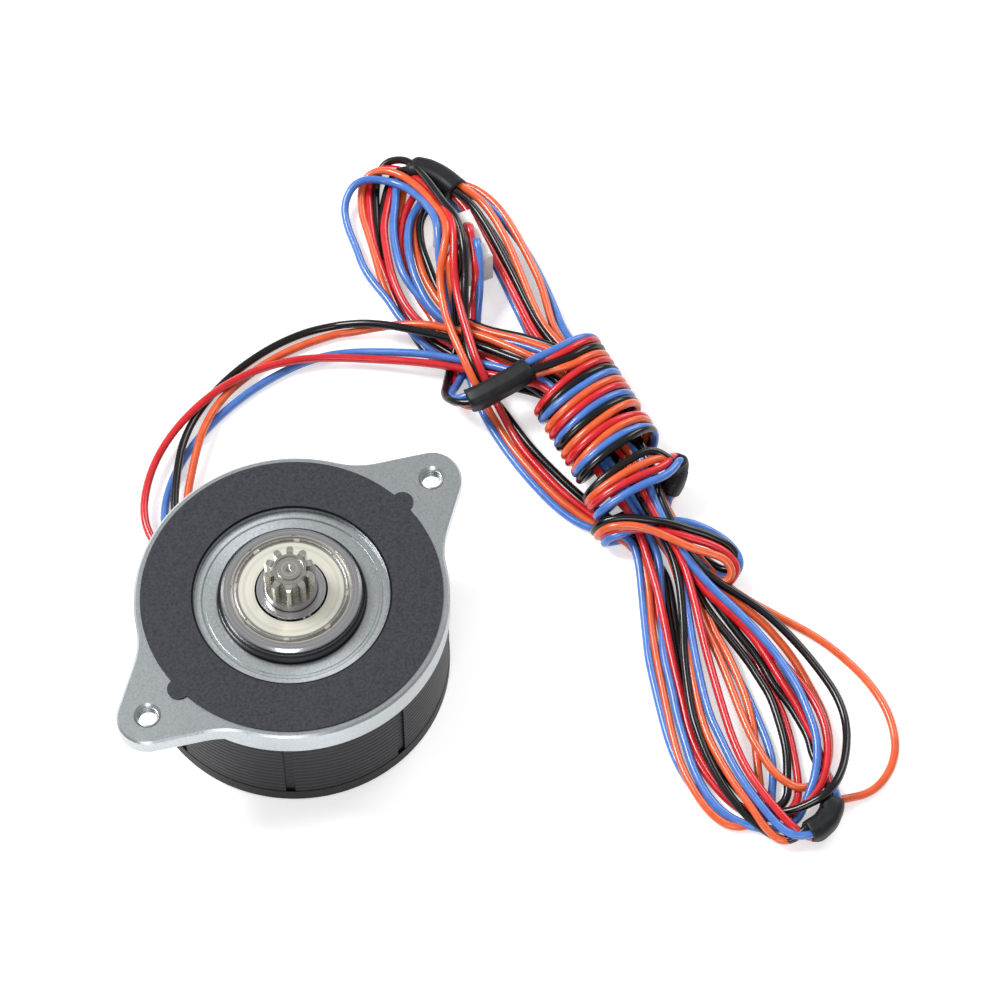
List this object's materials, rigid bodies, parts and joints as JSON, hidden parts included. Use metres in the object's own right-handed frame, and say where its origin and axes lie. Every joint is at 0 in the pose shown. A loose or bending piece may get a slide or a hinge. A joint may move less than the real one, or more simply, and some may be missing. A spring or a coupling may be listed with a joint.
{
  "type": "stepper motor",
  "caption": "Flat round stepper motor with an eared flange, a pinion cut on its shaft, hanked leads with a small plug, and a rotor that turns in ball bearings.",
  "frame": {"origin": "centre of the motor's rear face, on the shaft's axis", "axes": "+Z along the shaft towards the pinion, X through the two flange ears, the leads leave along +Y"},
  "size_m": [0.0868, 0.104, 0.0233],
  "materials": {
    "flange_aluminium": "satin",
    "black_film": "matte",
    "bearing_steel": "fine ground",
    "shield_steel": "pressed sheet",
    "cage_steel": "pressed sheet",
    "spring_steel": "blued",
    "shaft_steel": "ground",
    "rotor_steel": "ground",
    "magnet": "nickel plated",
    "black_laminations": "satin black",
    "bobbin_plastic": "matte",
    "copper": "enamelled copper wire",
    "board": "matte",
    "black_cap": "satin black",
    "screw_steel": "zinc plated",
    "black_rubber": "matte",
    "red_wire": "gloss",
    "blue_wire": "gloss",
    "black_wire": "gloss",
    "orange_wire": "gloss",
    "mixed_wire": "red, blue, black and orange wires",
    "white_housing": "satin",
    "contact_brass": "tin plated"
  },
  "bodies": {
    "stator_body": {"front_flange": "flange_aluminium", "face_film": "black_film", "front_bearing_outer_ring": "bearing_steel", "front_bearing_outer_shield": "shield_steel", "front_bearing_inner_shield": "shield_steel", "rear_bearing_outer_ring": "bearing_steel", "rear_bearing_front_shield": "shield_steel", "rear_bearing_back_shield": "shield_steel", "wave_washer": "spring_steel", "stator_stack": "black_laminations", "front_insulator": "bobbin_plastic", "rear_insulator": "bobbin_plastic", "stator_coils": "copper", "terminal_board": "board", "rear_cap": "black_cap", "assembly_screws": "screw_steel", "lead_grommet": "black_rubber", "red_lead": "red_wire", "blue_lead": "blue_wire", "black_lead": "black_wire", "orange_lead": "orange_wire", "lead_hank": "mixed_wire", "lead_sleeve_1": "black_rubber", "lead_sleeve_2": "black_rubber", "lead_sleeve_3": "black_rubber", "lead_sleeve_4": "black_rubber", "connector_housing": "white_housing", "connector_contacts": "contact_brass"},
    "rotor": {"gear_shaft": "shaft_steel", "rotor_front_stack": "rotor_steel", "rotor_rear_stack": "rotor_steel", "rotor_magnet": "magnet", "rotor_spacer": "shaft_steel", "front_bearing_inner_ring": "bearing_steel", "rear_bearing_inner_ring": "bearing_steel"},
    "front_ball_cage": {"front_bearing_balls": "bearing_steel", "front_bearing_cage": "cage_steel"},
    "rear_ball_cage": {"rear_bearing_balls": "bearing_steel", "rear_bearing_cage": "cage_steel"}
  },
  "joints": [
    {"name": "rotor_spin", "type": "hinge", "parent": "stator_body", "child": "rotor", "pos_m": [0, 0, 0.0085], "axis": [0, 0, 1], "continuous": true},
    {"name": "front_cage_spin", "type": "hinge", "parent": "stator_body", "child": "front_ball_cage", "pos_m": [0, 0, 0.016], "axis": [0, 0, 1], "continuous": true},
    {"name": "rear_cage_spin", "type": "hinge", "parent": "stator_body", "child": "rear_ball_cage", "pos_m": [0, 0, 0.0026], "axis": [0, 0, 1], "continuous": true}
  ],
  "couplings": [
    {"joint": "front_cage_spin", "follows": "rotor_spin", "ratio": 0.3502},
    {"joint": "rear_cage_spin", "follows": "rotor_spin", "ratio": 0.3866}
  ]
}
